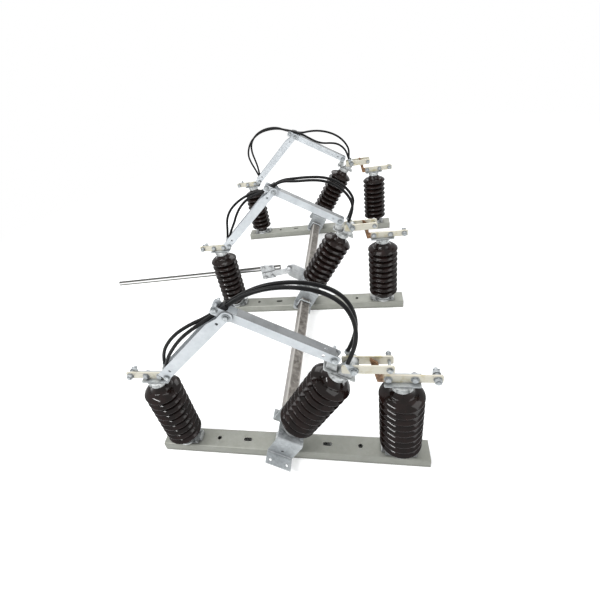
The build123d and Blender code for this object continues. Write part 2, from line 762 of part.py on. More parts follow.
def rod_clamp():
    """Link bar on the crank pin, saddle plate and two U-bolts on the pipe."""
    left = hub[0] - 190.0
    drop = 34.0
    u, n, _ = along((left, hub[2] - drop), (hub[0], hub[2]))
    bar = [on_line((hub[0], hub[2]), u, n, s, h) for s, h in
           ((-195, -21), (0, -21), (16, -12), (20, 0), (16, 12), (0, 21), (-195, 21))]
    link = plate_xz(bar, link_y0, link_y1)
    saddle_y0, saddle_y1 = link_y1, rod_y - rod_diameter / 2
    sx0, sx1 = hub[0] - 198.0, hub[0] - 100.0
    saddle = plate_xz(
        [(sx0, hub[2] - 66), (sx1, hub[2] - 54), (sx1, rod_point(sx1) + 38), (sx0, rod_point(sx0) + 38)],
        saddle_y0, saddle_y1, 8,
    )
    body = link + saddle
    for x in (hub[0] - 174, hub[0] - 124):
        z = rod_point(x)
        r = rod_diameter / 2 + 5.0
        front = saddle_y0 - 12
        top_leg = Line((x, front, z + r), (x, rod_y, z + r))
        turn = ThreePointArc((x, rod_y, z + r), (x, rod_y + r, z), (x, rod_y, z - r))
        low_leg = Line((x, rod_y, z - r), (x, front, z - r))
        path = Wire([top_leg, turn, low_leg])
        bend = sweep(Plane(origin=(x, front, z + r), z_dir=(0, 1, 0)) * Circle(5), path=path)
        body += bend
        body += Plane(origin=(x, saddle_y0, z + r), z_dir=(0, -1, 0)) * extrude(
            RegularPolygon(10, 6), amount=9)
        low = hex_bolt((x + 6, link_y0, hub[2] - 40 + (x - hub[0] + 150) * 0.18), (0, 1, 0),
                       saddle_y1 - link_y0, 12.0, tail=4.0)
        body += low
    pin_y0, pin_y1 = link_y0 - 10, rod_y + 20
    body += rod((hub[0], pin_y0, hub[2]), (hub[0], pin_y1, hub[2]), 8)
    body += rod((hub[0], pin_y0 + 4, hub[2]), (hub[0], link_y0, hub[2]), 17)
    body += rod((hub[0], link_y1, hub[2]), (hub[0], rod_y, hub[2]), 14)
    body += rod((hub[0], rod_y + 11.5, hub[2]), (hub[0], rod_y + 15, hub[2]), 16)
    return body


# ---- writing the nodes ------------------------------------------------------
def write(name, shapes):
    if not isinstance(shapes, (list, tuple)):
        shapes = [shapes]
    solids = []
    for shape in shapes:
        solids += list(shape.solids())
    node = solids[0] if len(solids) == 1 else Compound(children=solids)
    node.label = name
    export_step(node, os.path.join("parts", name + ".step"))
    print(name, "solids", len(solids), "volume", round(sum(s.volume for s in solids)))


def main():
    os.makedirs("parts", exist_ok=True)
    channel, saddle, porcelain = base_channel(), bearing(), insulator()
    foot, cap = foot_fitting(), cap_fitting()
    bars, brackets = terminal_bars(), terminal_brackets()
    head, blades, blade_bolts = contact_head(), moving_contact(), contact_bolts()
    upper, lower = upper_arm(), lower_arm()
    upper_bolts, lower_bolts = upper_arm_bolts(), lower_arm_bolts()
    head_lugs, line_lugs = [], []
    for name, y in poles.items():
        for side, which in ((1, "rear"), (-1, "front")):
            head_lugs.append(at_pole(lug_on_bar(cable_route(name, f"head {which}"), side), y))
            line_lugs.append(at_pole(lug_on_terminal(cable_route(name, f"line {which}"), side), y))
    bracket = tilted(tilt_bracket())
    seat = Pos(0, 0, seat_height)
    fixed = [Pos(sx * post_x, 0, deck) for sx in (-1, 1)]
    clamp_y = bracket_half_span + bracket_flange - 20
    def every_pole(shapes):
        return [at_pole(shape, y) for y in poles.values() for shape in shapes]

    write("base_channels", every_pole([channel]))
    write("bearings", every_pole([saddle]))
    write("fixed_insulators", every_pole([p * porcelain for p in fixed]))
    fixed_feet = [p * fixed_foot(sx) for p, sx in zip(fixed, (-1, 1))]
    write("fixed_insulator_fittings", every_pole(fixed_feet + [p * cap for p in fixed]))
    write("terminal_bars", every_pole(bars))
    write("terminal_brackets", every_pole(brackets) + line_lugs)
    write("tilt_brackets", every_pole([bracket]))
    write("tilting_insulators", every_pole([tilted(seat * porcelain)]))
    write("tilting_insulator_fittings", every_pole([tilted(seat * foot), tilted(seat * cap)]))
    write("contact_heads", every_pole([head]))
    write("moving_contacts", every_pole(blades))
    write("contact_bolts", every_pole(blade_bolts) + head_lugs)
    for name, y in poles.items():
        write(f"{name}_upper_arm", at_pole(upper, y))
        write(f"{name}_lower_arm", at_pole(lower, y))
        write(f"{name}_upper_arm_bolts", [at_pole(b, y) for b in upper_bolts])
        write(f"{name}_lower_arm_bolts", [at_pole(b, y) for b in lower_bolts])
        write(f"{name}_cable_grip", at_pole(cable_grip(name), y))
        for kind in ("head", "line"):
            pair = [cable(cable_route(name, f"{kind} {which}"), cable_diameter)
                    for which in ("rear", "front")]
            write(f"{name}_{kind}_cables", [at_pole(c, y) for c in pair])

    clamps = [
        at_pole(tilted(u_bolt(side * clamp_y)), y)
        for y in poles.values() for side in (-1, 1) if abs(y + side) < pole_spacing
    ]
    gap = bracket_half_span + 5
    tubes = [torque_tube(-pole_spacing + gap, -gap), torque_tube(gap, pole_spacing - gap)]
    write("torque_tubes", [tilted(t) for t in tubes])
    write("tube_clamps", clamps)
    write("crank_lever", crank_lever())
    write("drive_rod", drive_rod())
    write("rod_clamp", rod_clamp())


if __name__ == "__main__":
    main()
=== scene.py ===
"""Finishes, jumper cables and porcelain posts of a three-pole outdoor disconnector."""

import logging
import math
from dataclasses import dataclass, field
from enum import Enum
from typing import Any, ClassVar, Sequence

import bpy
import numpy as np
from mathutils import Matrix, Vector

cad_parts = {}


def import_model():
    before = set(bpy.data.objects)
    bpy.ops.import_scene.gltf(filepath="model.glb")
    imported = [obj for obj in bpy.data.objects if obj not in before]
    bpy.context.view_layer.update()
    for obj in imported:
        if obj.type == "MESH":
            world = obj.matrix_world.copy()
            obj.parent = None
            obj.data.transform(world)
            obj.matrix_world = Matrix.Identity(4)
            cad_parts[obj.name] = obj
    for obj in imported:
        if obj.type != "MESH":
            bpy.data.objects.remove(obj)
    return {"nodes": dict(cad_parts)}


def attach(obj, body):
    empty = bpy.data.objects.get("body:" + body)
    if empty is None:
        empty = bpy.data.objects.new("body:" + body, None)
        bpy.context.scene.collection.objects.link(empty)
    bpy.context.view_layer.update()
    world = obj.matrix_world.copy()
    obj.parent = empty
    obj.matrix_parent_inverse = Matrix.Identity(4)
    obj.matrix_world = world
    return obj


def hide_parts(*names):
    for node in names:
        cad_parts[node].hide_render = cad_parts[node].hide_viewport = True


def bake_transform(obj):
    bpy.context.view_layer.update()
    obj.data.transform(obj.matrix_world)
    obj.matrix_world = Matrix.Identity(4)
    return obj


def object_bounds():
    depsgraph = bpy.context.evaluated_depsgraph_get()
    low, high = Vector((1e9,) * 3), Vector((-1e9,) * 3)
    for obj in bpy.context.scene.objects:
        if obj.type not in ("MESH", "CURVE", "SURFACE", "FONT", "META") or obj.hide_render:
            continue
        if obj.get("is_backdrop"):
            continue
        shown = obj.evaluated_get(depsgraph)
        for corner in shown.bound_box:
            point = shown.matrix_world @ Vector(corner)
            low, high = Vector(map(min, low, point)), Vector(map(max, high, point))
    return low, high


log = logging.getLogger("disconnector")

Pair = tuple[float, float]
Point = tuple[float, float, float]
Rgba = tuple[float, float, float, float]

MM = 0.001
POLE_Y: dict[str, float] = {"front": -1.055, "middle": 0.0, "rear": 1.055}
AXIS_HEIGHT = 0.103  # of the tilting axis above the floor
WHITE: Rgba = (1.0, 1.0, 1.0, 1.0)


# ---- colour and nodes -------------------------------------------------------
def linear(code: str) -> Rgba:
    """Turn an sRGB hex colour into linear light.

    Args:
        code: Six hex digits, such as "8a8f8c".

    Returns:
        Linear red, green, blue and an alpha of 1.
    """
    s = np.array([int(code[i : i + 2], 16) for i in (0, 2, 4)]) / 255.0
    lin = np.where(s <= 0.04045, s / 12.92, ((s + 0.055) / 1.055) ** 2.4)
    return (float(lin[0]), float(lin[1]), float(lin[2]), 1.0)


def add(
    tree: bpy.types.NodeTree,
    kind: str,
    inputs: dict[Any, Any] | None = None,
    **settings: Any,
) -> bpy.types.Node:
    """Add one node, set its properties, and set or link its inputs.

    Args:
        tree: The node tree that gets the node.
        kind: The node's type name, without "ShaderNode".
        inputs: Socket name or index to a value, or to a socket to link from.
        settings: Properties of the node itself.

    Returns:
        The new node.
    """
    node = tree.nodes.new("ShaderNode" + kind)
    for name, value in settings.items():
        setattr(node, name, value)
    for key, value in (inputs or {}).items():
        if isinstance(value, bpy.types.NodeSocket):
            tree.links.new(value, node.inputs[key])
        else:
            node.inputs[key].default_value = value
    return node


def ramp(
    tree: bpy.types.NodeTree,
    source: bpy.types.NodeSocket,
    stops: Sequence[tuple[float, str]],
) -> bpy.types.NodeSocket:
    """Colour ramp through sRGB stops.

    Args:
        tree: The node tree.
        source: The value that drives the ramp.
        stops: Places from 0 to 1, each with its hex colour.

    Returns:
        The ramp's colour socket.
    """
    node = add(tree, "ValToRGB", {"Fac": source})
    band = node.color_ramp
    while len(band.elements) < len(stops):
        band.elements.new(0.5)
    for element, (place, code) in zip(band.elements, stops):
        element.position = place
        element.color = linear(code)
    return node.outputs["Color"]


def between(
    tree: bpy.types.NodeTree,
    source: bpy.types.NodeSocket,
    low: float,
    high: float,
    to_low: float = 0.0,
    to_high: float = 1.0,
) -> bpy.types.NodeSocket:
    """Map a value linearly from one range to another, clamped at both ends."""
    limits = {"From Min": low, "From Max": high, "To Min": to_low, "To Max": to_high}
    return add(tree, "MapRange", {"Value": source, **limits}).outputs["Result"]


def maths(tree: bpy.types.NodeTree, operation: str, *inputs: Any) -> bpy.types.NodeSocket:
    """Result of one Math node; each input is a number or a socket."""
    return add(tree, "Math", dict(enumerate(inputs)), operation=operation).outputs[0]


def vector_maths(
    tree: bpy.types.NodeTree, operation: str, *inputs: Any
) -> bpy.types.NodeSocket:
    """Result of one VectorMath node: a number for LENGTH, else a vector."""
    node = add(tree, "VectorMath", dict(enumerate(inputs)), operation=operation)
    return node.outputs["Value" if operation == "LENGTH" else "Vector"]


def split(
    tree: bpy.types.NodeTree, vector: bpy.types.NodeSocket
) -> tuple[bpy.types.NodeSocket, ...]:
    """X, Y and Z of a vector."""
    return tuple(add(tree, "SeparateXYZ", {"Vector": vector}).outputs)


def noise(
    tree: bpy.types.NodeTree,
    place: bpy.types.NodeSocket,
    size_mm: float,
    detail: float = 3.0,
    roughness: float = 0.5,
) -> bpy.types.NodeSocket:
    """Noise whose patches are about size_mm across on the object."""
    look = {"Scale": 1.0 / (size_mm * MM), "Detail": detail, "Roughness": roughness}
    return add(tree, "TexNoise", {"Vector": place, **look}).outputs["Fac"]


def blend_colour(
    tree: bpy.types.NodeTree, factor: Any, first: Any, second: Any
) -> bpy.types.NodeSocket:
    """Mix two colours, each a socket or a linear colour, by a factor."""
    # 6, 7 and 2 are the colour sockets of a node that also mixes numbers and vectors.
    return add(tree, "Mix", {0: factor, 6: first, 7: second}, data_type="RGBA").outputs[2]


# ---- finishes ---------------------------------------------------------------
@dataclass(frozen=True)
class Finish:
    """What every finish shares: a name, one Principled shader, and painted shade in corners.

    shade_sky is how much open sky a point sees where the painted shade is deepest, and
    where it ends; shade_rays is how many rays look for it.
    """

    name: str
    crevice_shade_colour: ClassVar[str] = "242321"
    shade_sky: ClassVar[Pair] = (0.35, 0.95)
    shade_rays: ClassVar[int] = 8

    def material(self) -> bpy.types.Material:
        """Build the material once, or return the one already built.

        Returns:
            The node material of this finish.
        """
        made = bpy.data.materials.get(self.name)
        if made is not None:
            return made
        made = bpy.data.materials.new(self.name)
        made.use_nodes = True
        tree = made.node_tree
        tree.nodes.clear()
        place = add(tree, "TexCoord").outputs["Object"]
        shader = add(tree, "BsdfPrincipled")
        output = add(tree, "OutputMaterial")
        tree.links.new(shader.outputs["BSDF"], output.inputs["Surface"])
        self.dress(tree, shader, place)
        return made

    def dress(
        self, tree: bpy.types.NodeTree, shader: bpy.types.Node, place: bpy.types.NodeSocket
    ) -> None:
        """Set the shader's sockets; each finish has its own way.

        Args:
            tree: The node tree.
            shader: The Principled shader that gets the look.
            place: The place on the object.
        """
        raise NotImplementedError

    @classmethod
    def painted_crevice_shade(
        cls, tree: bpy.types.NodeTree, colour: bpy.types.NodeSocket, reach_mm: float, depth: float
    ) -> bpy.types.NodeSocket:
        """Paint shade into a colour in corners and round bolt heads, where shade falls.

        Args:
            tree: The node tree.
            colour: The colour without painted shade.
            reach_mm: How far from the corner the painted shade spreads.
            depth: How much of the colour the deepest corner loses.

        Returns:
            The colour's socket with painted shade.
        """
        reach = {"Distance": reach_mm * MM}
        # painted shade: ambient occlusion darkens corners and the ground round bolt heads
        open_sky = add(tree, "AmbientOcclusion", reach, samples=cls.shade_rays)
        amount = between(tree, open_sky.outputs["AO"], *cls.shade_sky, depth, 0.0)
        return blend_colour(tree, amount, colour, linear(cls.crevice_shade_colour))

    @staticmethod
    def bump(
        tree: bpy.types.NodeTree,
        shader: bpy.types.Node,
        height: bpy.types.NodeSocket,
        depth_mm: float,
        strength: float,
    ) -> None:
        """Give the shader's normal a bump.

        Args:
            tree: The node tree.
            shader: The Principled shader.
            height: The pattern, from 0 to 1.
            depth_mm: How deep the whole pattern is.
            strength: How much of the bump is used.
        """
        size = {"Distance": depth_mm * MM, "Strength": strength}
        node = add(tree, "Bump", {"Height": height, **size})
        tree.links.new(node.outputs["Normal"], shader.inputs["Normal"])


@dataclass(frozen=True)
class HotDipZinc(Finish):
    """Hot-dip galvanised steel: a zinc skin frozen from the melt.

    It gives the eye flat crystal patches of slightly different grey, a dull
    half-metallic sheen, and cloudy weathering over both. painted_top_shade and
    top_shade_light are the tones of painted shade on faces that look up.
    painted_highlight is the tone of a painted highlight in a band along a level
    pipe's flank, between the painted shade on its top and the side below.
    corner_tone is a brighter tone along the corners of the square tube about
    the tilting axis. crevice_shade is how dark the painted shade in corners
    gets, grain how rough the skin is.

    The pairs say where a tone begins and where it is full: top_shade_rise,
    highlight_top and highlight_foot by how far a face looks up, from -1 to 1,
    and corner by the distance from the tilting axis, in metres.
    """

    dark: str = "7c807c"
    light: str = "a3a7a4"
    spangle_mm: float = 9.0
    metal: float = 0.55
    rough: float = 0.46
    stain: str = "6f6a5c"
    stain_amount: float = 0.25
    contrast: float = 0.35
    painted_top_shade: str = ""
    top_shade_light: str = "8b8d8e"
    corner_tone: str = ""
    painted_highlight: str = ""
    crevice_shade: float = 0.6
    grain: float = 0.35
    cloud_mm: ClassVar[float] = 60.0
    stain_mm: ClassVar[float] = 140.0
    skin_mm: ClassVar[float] = 4.0
    skin_depth_mm: ClassVar[float] = 0.12
    shade_reach_mm: ClassVar[float] = 18.0
    top_shade_rise: ClassVar[Pair] = (0.5, 0.8)
    highlight_top: ClassVar[Pair] = (0.5, 0.72)
    highlight_foot: ClassVar[Pair] = (0.0, 0.25)
    corner: ClassVar[Pair] = (0.0355, 0.0395)
    corner_lift: ClassVar[float] = 0.8

    def dress(
        self, tree: bpy.types.NodeTree, shader: bpy.types.Node, place: bpy.types.NodeSocket
    ) -> None:
        """Spangle from cells, clouds from noise, and a dull stain in places; painted shade on
        faces that look up and in corners, and a painted highlight along a pipe's flank.

        Args:
            tree: The node tree.
            shader: The Principled shader that gets the look.
            place: The place on the object.
        """
        size = {"Scale": 1.0 / (self.spangle_mm * MM)}
        cells = add(tree, "TexVoronoi", {"Vector": place, **size})
        tone = add(tree, "SeparateColor", {"Color": cells.outputs["Color"]}).outputs["Red"]
        cloud = noise(tree, place, self.cloud_mm, 4.0, 0.6)
        mixed = maths(tree, "MULTIPLY_ADD", tone, self.contrast, cloud)
        mixed = between(tree, mixed, 0.3, 0.7 + self.contrast)
        base = ramp(tree, mixed, [(0.0, self.dark), (1.0, self.light)])
        patches = noise(tree, place, self.stain_mm, 6.0, 0.65)
        patches = between(tree, patches, 0.5, 0.72, 0.0, self.stain_amount)
        colour = blend_colour(tree, patches, base, linear(self.stain))
        # painted shade on faces that look up, and a painted highlight along a pipe's flank
        colour = self.painted_shading(tree, colour, cloud)
        if self.corner_tone:
            colour = self.brighter_corners(tree, colour, place)
        # painted shade in corners and round bolt heads
        colour = self.painted_crevice_shade(tree, colour, self.shade_reach_mm, self.crevice_shade)
        tree.links.new(colour, shader.inputs["Base Color"])
        shader.inputs["Metallic"].default_value = self.metal
        sheen = between(tree, tone, 0.0, 1.0, self.rough - 0.06, self.rough + 0.08)
        tree.links.new(sheen, shader.inputs["Roughness"])
        skin = noise(tree, place, self.skin_mm, 3.0)
        self.bump(tree, shader, skin, self.skin_depth_mm, self.grain)

    def painted_shading(
        self,
        tree: bpy.types.NodeTree,
        colour: bpy.types.NodeSocket,
        cloud: bpy.types.NodeSocket,
    ) -> bpy.types.NodeSocket:
        """Paint shade on the faces that look up, and a painted highlight in the band along a
        pipe's flank.

        Args:
            tree: The node tree.
            colour: The colour of all other faces.
            cloud: The noise that clouds the painted shade on faces that look up.

        Returns:
            The colour's socket with painted shade and highlight, or colour where nothing changes
            it.
        """
        if not (self.painted_top_shade or self.painted_highlight):
            return colour
        _, _, rise = split(tree, add(tree, "TexCoord").outputs["Normal"])
        # painted shade: faces that look up get a darker, clouded tone
        if self.painted_top_shade:
            tones = [(0.0, self.painted_top_shade), (1.0, self.top_shade_light)]
            top = ramp(tree, between(tree, cloud, 0.3, 0.8), tones)
            colour = blend_colour(tree, between(tree, rise, *self.top_shade_rise), colour, top)
        # painted highlight: a pale band along the flank of a level pipe
        if self.painted_highlight:
            below_top = between(tree, rise, *self.highlight_top, 1.0, 0.0)
            above_foot = between(tree, rise, *self.highlight_foot)
            band = maths(tree, "MULTIPLY", below_top, above_foot)
            colour = blend_colour(tree, band, colour, linear(self.painted_highlight))
        return colour

    def brighter_corners(
        self,
        tree: bpy.types.NodeTree,
        colour: bpy.types.NodeSocket,
        place: bpy.types.NodeSocket,
    ) -> bpy.types.NodeSocket:
        """Brighten the corners of the square tube.

        The distance from the tilting axis is |((x, y, z) - (0, 0, h)) * (1, 0, 1)|,
        with h the axis's height, and only the tube's corners reach that far.

        Args:
            tree: The node tree.
            colour: The tube's colour.
            place: The place on the object.

        Returns:
            The colour's socket with bright corners.
        """
        centred = vector_maths(tree, "ADD", place, (0.0, 0.0, -AXIS_HEIGHT))
        flat = vector_maths(tree, "MULTIPLY", centred, (1.0, 0.0, 1.0))
        reach = vector_maths(tree, "LENGTH", flat)
        edge = between(tree, reach, *self.corner, 0.0, self.corner_lift)
        return blend_colour(tree, edge, colour, linear(self.corner_tone))


@dataclass(frozen=True)
class CastZinc(Finish):
    """Galvanised iron casting: sand-cast skin under zinc, so it is grainy."""

    dark: str
    light: str
    cloud_mm: ClassVar[float] = 22.0
    sand_mm: ClassVar[float] = 2.2
    sand_depth_mm: ClassVar[float] = 0.35
    shade_reach_mm: ClassVar[float] = 16.0
    crevice_shade: ClassVar[float] = 0.75
    metal: ClassVar[float] = 0.45

    def dress(
        self, tree: bpy.types.NodeTree, shader: bpy.types.Node, place: bpy.types.NodeSocket
    ) -> None:
        """Mottled grey with a sand grain of about 2 mm, drawn coarse to show.

        Args:
            tree: The node tree.
            shader: The Principled shader that gets the look.
            place: The place on the object.
        """
        cloud = noise(tree, place, self.cloud_mm, 5.0, 0.6)
        base = ramp(tree, between(tree, cloud, 0.3, 0.72), [(0.0, self.dark), (1.0, self.light)])
        # painted shade in corners and round bolt heads
        base = self.painted_crevice_shade(tree, base, self.shade_reach_mm, self.crevice_shade)
        tree.links.new(base, shader.inputs["Base Color"])
        shader.inputs["Metallic"].default_value = self.metal
        tree.links.new(between(tree, cloud, 0.3, 0.7, 0.42, 0.6), shader.inputs["Roughness"])
        self.bump(tree, shader, noise(tree, place, self.sand_mm, 2.0), self.sand_depth_mm, 0.5)


@dataclass(frozen=True)
class BrownGlaze(Finish):
    """Glazed electrical porcelain: a glassy iron-brown glaze over clay.

    The glaze runs thinner and redder in patches, and it shines sharply, which
    gives each shed its bright arc.
    """

    thick: str = "130d0b"
    thin: str = "1f1412"
    patch_mm: float = 45.0
    refraction: float = 1.52
    specular: float = 0.2
    rough: Pair = (0.08, 0.12)
    ripple_mm: float = 30.0
    ripple_depth_mm: float = 0.5

    def dress(
        self, tree: bpy.types.NodeTree, shader: bpy.types.Node, place: bpy.types.NodeSocket
    ) -> None:
        """Near-black brown with red patches under a clear glassy coat.

        Args:
            tree: The node tree.
            shader: The Principled shader that gets the look.
            place: The place on the object.
        """
        patches = between(tree, noise(tree, place, self.patch_mm, 3.0), 0.42, 0.7)
        base = ramp(tree, patches, [(0.0, self.thick), (1.0, self.thin)])
        tree.links.new(base, shader.inputs["Base Color"])
        shader.inputs["IOR"].default_value = self.refraction
        shader.inputs["Specular IOR Level"].default_value = self.specular
        tree.links.new(between(tree, patches, 0.0, 1.0, *self.rough), shader.inputs["Roughness"])
        ripple = noise(tree, place, self.ripple_mm, 2.0)
        self.bump(tree, shader, ripple, self.ripple_depth_mm, 0.15)


@dataclass(frozen=True)
class TinnedCopper(Finish):
    """Tin-plated copper bar: pale tin that yellows, copper where it wears.

    The horn is bare aged copper: all that lies above horn_foot or nearer to
    the middle than horn_side, and beyond bars_from, where the line bars end.
    Each pair says where the change begins and where it is full, in metres.
    """

    pale: str = "c2beb0"
    yellow: str = "b0a888"
    copper: str = "94704f"
    brown: str = "5e4430"
    has_horn: bool = False
    horn_foot: Pair = (0.534, 0.552)
    horn_side: Pair = (0.436, 0.448)
    bars_from: Pair = (0.2, 0.21)
    metal: float = 0.35
    cloud_mm: float = 35.0
    patina_mm: float = 14.0
    skin_mm: float = 5.0
    skin_depth_mm: float = 0.1

    def dress(
        self, tree: bpy.types.NodeTree, shader: bpy.types.Node, place: bpy.types.NodeSocket
    ) -> None:
        """Pale tin with tan clouds; bare copper from the horn's foot upward.

        Args:
            tree: The node tree.
            shader: The Principled shader that gets the look.
            place: The place on the object.
        """
        cloud = between(tree, noise(tree, place, self.cloud_mm, 4.0, 0.6), 0.38, 0.68)
        colour = ramp(tree, cloud, [(0.0, self.pale), (0.55, self.pale), (1.0, self.yellow)])
        if self.has_horn:
            x, _, z = split(tree, place)
            high = between(tree, z, *self.horn_foot)
            near = between(tree, x, *self.horn_side, 1.0, 0.0)
            bare = maths(tree, "MAXIMUM", high, near)
            bare = maths(tree, "MULTIPLY", bare, between(tree, x, *self.bars_from))
            patina = noise(tree, place, self.patina_mm, 4.0)
            aged = ramp(tree, patina, [(0.35, self.brown), (0.65, self.copper)])
            colour = blend_colour(tree, bare, colour, aged)
        tree.links.new(colour, shader.inputs["Base Color"])
        shader.inputs["Metallic"].default_value = self.metal
        tree.links.new(between(tree, cloud, 0.0, 1.0, 0.4, 0.52), shader.inputs["Roughness"])
        self.bump(tree, shader, noise(tree, place, self.skin_mm, 2.0), self.skin_depth_mm, 0.3)


@dataclass(frozen=True)
class ZincPlate(Finish):
    """Electroplated zinc on turned and pressed fasteners: smooth and bright."""

    dark: str = "8f9496"
    light: str = "c2c6c8"
    patch_mm: float = 9.0
    shade_reach_mm: float = 10.0
    crevice_shade: float = 0.8
    metal: float = 0.7

    def dress(
        self, tree: bpy.types.NodeTree, shader: bpy.types.Node, place: bpy.types.NodeSocket
    ) -> None:
        """Bright grey with small dull patches.

        Args:
            tree: The node tree.
            shader: The Principled shader that gets the look.
            place: The place on the object.
        """
        patches = between(tree, noise(tree, place, self.patch_mm, 3.0), 0.35, 0.7)
        base = ramp(tree, patches, [(0.0, self.dark), (1.0, self.light)])
        # painted shade in corners and round bolt heads
        base = self.painted_crevice_shade(tree, base, self.shade_reach_mm, self.crevice_shade)
        tree.links.new(base, shader.inputs["Base Color"])
        shader.inputs["Metallic"].default_value = self.metal
        tree.links.new(between(tree, patches, 0.0, 1.0, 0.42, 0.3), shader.inputs["Roughness"])


@dataclass(frozen=True)
class BlackRubber(Finish):
    """Moulded or extruded EPDM rubber: matt, with a soft grey bloom."""

    tone: str = "141415"
    bloom: str = "222324"
    rough: float = 0.55
    refraction: float = 1.5
    specular: float = 0.14
    cloud_mm: float = 28.0
    skin_mm: float = 2.0
    skin_depth_mm: float = 0.08

    def dress(
        self, tree: bpy.types.NodeTree, shader: bpy.types.Node, place: bpy.types.NodeSocket
    ) -> None:
        """Near black with a grey bloom in cloudy patches.

        Args:
            tree: The node tree.
            shader: The Principled shader that gets the look.
            place: The place on the object.
        """
        cloud = between(tree, noise(tree, place, self.cloud_mm, 4.0), 0.4, 0.75)
        base = ramp(tree, cloud, [(0.0, self.tone), (1.0, self.bloom)])
        tree.links.new(base, shader.inputs["Base Color"])
        shader.inputs["IOR"].default_value = self.refraction
        shader.inputs["Specular IOR Level"].default_value = self.specular
        dullness = between(tree, cloud, 0.0, 1.0, self.rough - 0.12, self.rough + 0.08)
        tree.links.new(dullness, shader.inputs["Roughness"])
        self.bump(tree, shader, noise(tree, place, self.skin_mm, 2.0), self.skin_depth_mm, 0.3)


class Surface(Enum):
    """The finishes of this object, one for each kind of surface."""

    CHANNEL = HotDipZinc(
        "Hot-dip zinc, weathered", "83847c", "93948d", 11.0, 0.45, 0.5,
        stain="7d7d74", stain_amount=0.18, contrast=0.25,
    )
    STEEL = HotDipZinc("Hot-dip zinc", "8f9395", "bcc0c2", stain_amount=0.12)
    TUBE = HotDipZinc(
        "Hot-dip zinc, coarse spangle", "57524d", "9a958f", 16.0, 0.5, 0.42,
        stain="5c5348", stain_amount=0.35, contrast=0.7, corner_tone="b5b2ad",
    )
    # The arms' darker tone on faces that look up is painted shade.
    ARM = HotDipZinc(
        "Hot-dip zinc, bright", "b4b9bd", "ccd0d3", 12.0, 0.35, 0.45,
        stain_amount=0.04, contrast=0.15, painted_top_shade="6f7172", grain=0.08,
    )
    # The drive's deep corner darkening is painted shade that brings out its nuts.
    DRIVE = HotDipZinc(
        "Hot-dip zinc, new", "b4b6b8", "dcdedf", 10.0, 0.45, 0.4,
        stain_amount=0.06, crevice_shade=0.95,
    )
    # The drive rod's dark tones are painted shade for its two edge lines, its darker top is
    # painted shade, and its pale flank band is a painted highlight.
    PIPE = HotDipZinc(
        "Hot-dip zinc, painted shade and highlight", "45443f", "605e58", 10.0, 0.45, 0.4,
        stain_amount=0.1, contrast=0.2, painted_top_shade="403f3c", top_shade_light="55534f",
        painted_highlight="f0f0ef", grain=0.1,
    )
    CASTING = CastZinc("Galvanised iron casting", "7f8281", "d6d8d8")
    PORCELAIN = BrownGlaze("Brown-glazed porcelain")
    FIXED_BARS = TinnedCopper("Tinned copper with bare horn", has_horn=True)
    BLADES = TinnedCopper("Tinned copper")
    FASTENER = ZincPlate("Zinc-plated steel")
    GRIP = BlackRubber("Moulded EPDM rubber")
    JACKET = BlackRubber("Extruded EPDM rubber", "0b0b0c", "161617", 0.4)

    def material(self) -> bpy.types.Material:
        """The node material of this surface."""
        return self.value.material()


# ---- mesh helpers -----------------------------------------------------------
def grid_faces(rows: int, columns: int) -> np.ndarray:
    """Quads of a grid of points, ring by ring.

    Point (i, j) has number i * columns + j. A quad joins (i, j), (i, j + 1),
    (i + 1, j + 1) and (i + 1, j), and the last column joins the first.

    Args:
        rows: Rings of points.
        columns: Points in a ring.

    Returns:
        One row of four point numbers for each quad.
    """
    i, j = np.meshgrid(np.arange(rows - 1), np.arange(columns), indexing="ij")
    k = (j + 1) % columns
    here, above = i * columns, (i + 1) * columns
    return np.stack([here + j, here + k, above + k, above + j], -1).reshape(-1, 4)


def make_object(
    name: str, points: np.ndarray, faces: Sequence[Sequence[int]], surface: Surface
) -> bpy.types.Object:
    """Put points and faces in a smooth-shaded mesh object at the origin.

    Args:
        name: The object's name.
        points: One row of x, y, z for each point, in metres.
        faces: Point numbers of each face, seen from outside.
        surface: The finish.

    Returns:
        The linked object.
    """
    mesh = bpy.data.meshes.new(name)
    mesh.from_pydata(points.tolist(), [], [list(map(int, f)) for f in faces])
    mesh.shade_smooth()
    mesh.update()
    mesh.materials.append(surface.material())
    obj = bpy.data.objects.new(name, mesh)
    bpy.context.scene.collection.objects.link(obj)
    return obj


def sweep(path: np.ndarray, radius: np.ndarray, sides: int) -> tuple[np.ndarray, list[list[int]]]:
    """Carry a circle along a path, with flat caps.

    At each path point the circle lies across the path's direction. Its first
    side is turned from ring to ring by no more than the path turns, so the
    tube has no twist: side' = side - direction * (side . direction).

    Args:
        path: Points of the centre line, one row each.
        radius: Radius at each path point.
        sides: Points around each ring.

    Returns:
        The points and the faces of the closed tube.
    """
    tangent = np.gradient(path, axis=0)
    tangent /= np.linalg.norm(tangent, axis=1, keepdims=True)
    across = np.cross(tangent[0], (0.0, 1.0, 0.0))
    across /= np.linalg.norm(across)
    turned = []
    for direction in tangent:
        across = across - direction * float(across @ direction)
        across /= np.linalg.norm(across)
        turned.append(across)
    u = np.array(turned)
    v = np.cross(tangent, u)
    angle = np.linspace(0.0, 2.0 * np.pi, sides, endpoint=False)
    ring = np.cos(angle)[None, :, None] * u[:, None] + np.sin(angle)[None, :, None] * v[:, None]
    points = path[:, None] + ring * radius[:, None, None]
    faces = grid_faces(len(path), sides).tolist()
    last = (len(path) - 1) * sides
    faces.append(list(range(sides))[::-1])
    faces.append([last + k for k in range(sides)])
    return points.reshape(-1, 3), faces


